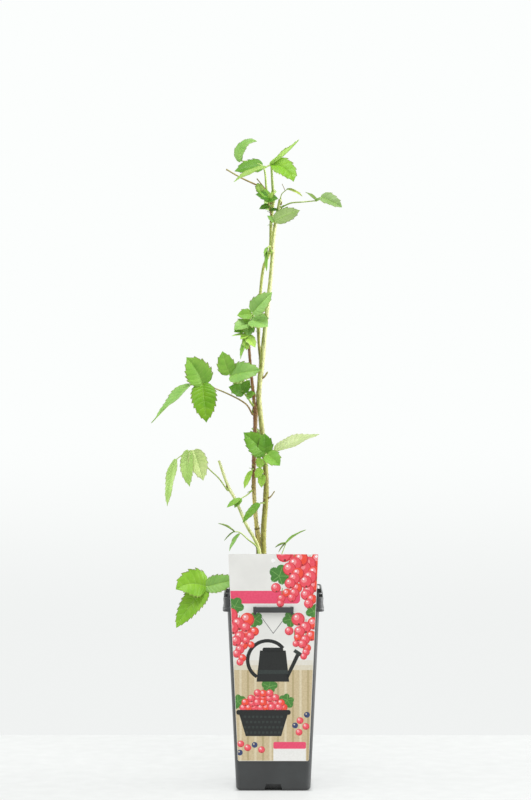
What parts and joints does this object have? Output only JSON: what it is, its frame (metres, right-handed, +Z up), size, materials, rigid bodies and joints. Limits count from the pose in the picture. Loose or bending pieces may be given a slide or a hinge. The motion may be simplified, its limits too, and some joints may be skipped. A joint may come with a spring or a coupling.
{
  "type": "potted raspberry plant",
  "caption": "Young raspberry canes with toothed compound leaves in a tall, square, tapering nursery pot filled with soil, with a plastic picture card hung on the strap of its rim.",
  "frame": {"origin": "middle of the pot's flat underside, at floor level", "axes": "+Z up along the canes, -Y towards the front where the card hangs, +X to the right in the front view"},
  "size_m": [0.1947, 0.1376, 0.6678],
  "materials": {
    "pot_plastic": "satin dark grey moulded plastic",
    "soil": "crumbly dark brown potting soil",
    "card_plastic": "printed semi-gloss plastic card",
    "cane_green": "yellow-green young bark with fine bristles",
    "cane_brown": "brown bristly bark",
    "cane_olive": "olive brown bark",
    "leaf_bright": "bright green leaf",
    "leaf_mid": "mid green leaf",
    "leaf_dark": "deep green leaf",
    "leaf_pale": "pale green leaf",
    "leaf_young": "yellow-green young leaf"
  },
  "bodies": {
    "root": {"pot": "pot_plastic", "potting_soil": "soil", "label_card": "card_plastic", "cane_main": "cane_green", "cane_brown": "cane_brown", "cane_middle": "cane_olive", "cane_young": "cane_green", "leaves_crown_right": "leaf_bright", "leaves_crown_left": "leaf_mid", "leaves_under_crown": "leaf_dark", "leaf_top_right": "leaf_mid", "leaf_top_spray": "leaf_pale", "leaf_top_under": "leaf_mid", "leaf_upper_curl": "leaf_mid", "leaves_middle": "leaf_mid", "leaves_middle_young": "leaf_young", "leaves_left_pair": "leaf_mid", "leaf_long_left": "leaf_bright", "leaves_centre": "leaf_dark", "leaves_centre_young": "leaf_young", "leaf_right_pale": "leaf_pale", "leaves_left_pale": "leaf_young", "leaves_small_left": "leaf_mid", "leaf_narrow_left": "leaf_young", "leaf_low_middle": "leaf_mid", "leaves_low_left": "leaf_dark", "leaves_low_right": "leaf_dark", "leaves_pot_side": "leaf_bright", "leaves_back_crown": "leaf_mid", "leaves_back_middle": "leaf_mid", "leaves_back_left": "leaf_mid", "leaves_back_centre": "leaf_mid", "leaves_back_low": "leaf_bright", "leaves_back_right": "leaf_bright"}
  },
  "joints": []
}
